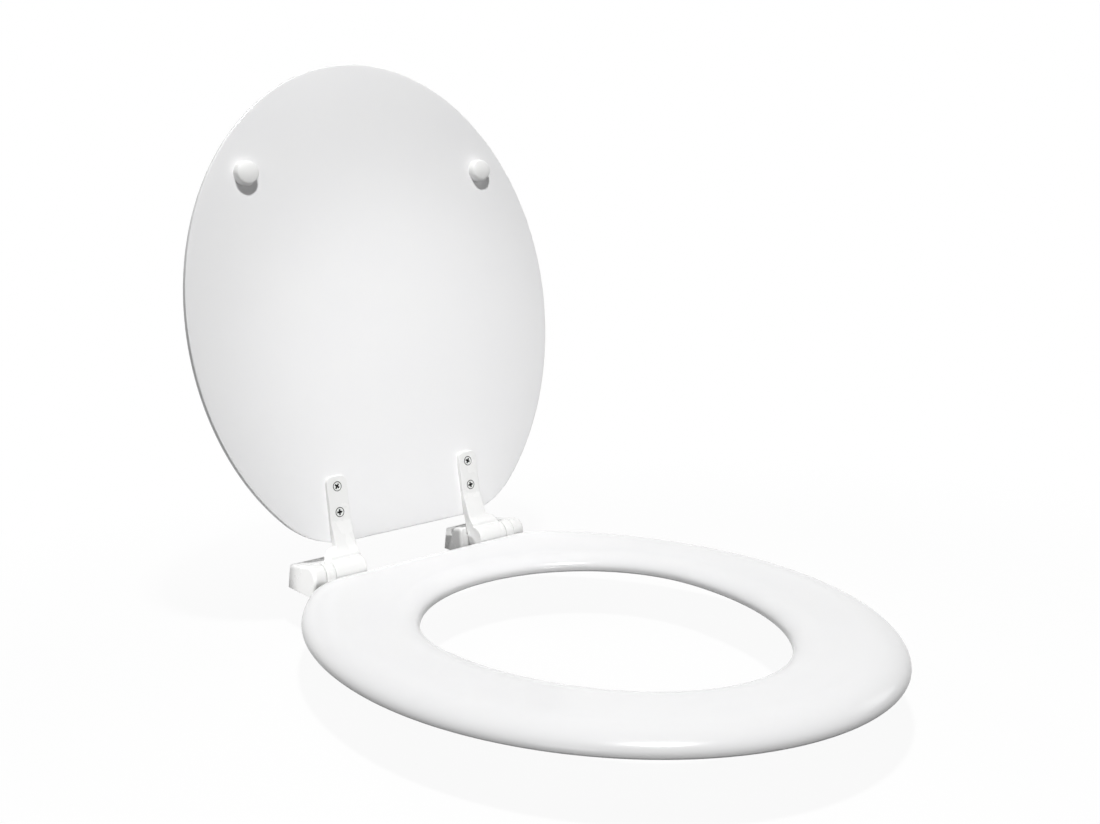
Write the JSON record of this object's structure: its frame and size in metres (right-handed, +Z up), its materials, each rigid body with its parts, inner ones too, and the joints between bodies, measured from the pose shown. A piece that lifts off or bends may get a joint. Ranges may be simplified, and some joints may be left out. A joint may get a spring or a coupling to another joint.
{
  "type": "toilet seat",
  "caption": "White oval toilet seat with a closed-front ring and a lid that hinge on bolted bases with flip-up caps; the lid stands open.",
  "frame": {"origin": "on the bowl's deck, midway between the two mounting bolts", "axes": "+X right as seen from the front, +Y to the rear, +Z up"},
  "size_m": [0.362, 0.4951, 0.4664],
  "materials": {
    "enamelled_wood": "white gloss enamel on moulded wood",
    "hinge_plastic": "white, semi-gloss moulded",
    "bumper_plastic": "white, soft satin",
    "steel": "zinc-plated",
    "nylon": "natural white nylon"
  },
  "bodies": {
    "bases": {"hinge_base_left": "hinge_plastic", "hinge_pin_left": "steel", "mounting_bolt_left": "nylon", "hinge_base_right": "hinge_plastic", "hinge_pin_right": "steel", "mounting_bolt_right": "nylon"},
    "lid": {"lid": "enamelled_wood", "lid_bumper_left": "bumper_plastic", "lid_arm_left": "hinge_plastic", "lid_screws_left": "steel", "lid_bumper_right": "bumper_plastic", "lid_arm_right": "hinge_plastic", "lid_screws_right": "steel"},
    "ring": {"seat_ring": "enamelled_wood", "ring_bumper_front_left": "bumper_plastic", "ring_bumper_rear_left": "bumper_plastic", "ring_arm_left": "hinge_plastic", "ring_screws_left": "steel", "ring_bumper_front_right": "bumper_plastic", "ring_bumper_rear_right": "bumper_plastic", "ring_arm_right": "hinge_plastic", "ring_screws_right": "steel"},
    "cap_left": {"bolt_cap_left": "hinge_plastic"},
    "nut_left": {"wing_nut_left": "nylon", "bolt_washer_left": "nylon"},
    "cap_right": {"bolt_cap_right": "hinge_plastic"},
    "nut_right": {"wing_nut_right": "nylon", "bolt_washer_right": "nylon"}
  },
  "joints": [
    {"name": "lid_hinge", "type": "hinge", "parent": "bases", "child": "lid", "pos_m": [0, -0.024, 0.0143], "axis": [-1, 0, 0], "range_deg": [-96.5, 0]},
    {"name": "ring_hinge", "type": "hinge", "parent": "bases", "child": "ring", "pos_m": [0, -0.024, 0.0143], "axis": [-1, 0, 0], "range_deg": [0, 95.8]},
    {"name": "cap_left_flip", "type": "hinge", "parent": "bases", "child": "cap_left", "pos_m": [-0.0775, 0.00595, 0.01705], "axis": [-1, 0, 0], "range_deg": [0, 95]},
    {"name": "nut_left_turn", "type": "hinge", "parent": "bases", "child": "nut_left", "pos_m": [-0.0775, 0, -0.025], "axis": [0, 0, 1], "continuous": true},
    {"name": "cap_right_flip", "type": "hinge", "parent": "bases", "child": "cap_right", "pos_m": [0.0775, 0.00595, 0.01705], "axis": [-1, 0, 0], "range_deg": [0, 95]},
    {"name": "nut_right_turn", "type": "hinge", "parent": "bases", "child": "nut_right", "pos_m": [0.0775, 0, -0.025], "axis": [0, 0, 1], "continuous": true}
  ]
}
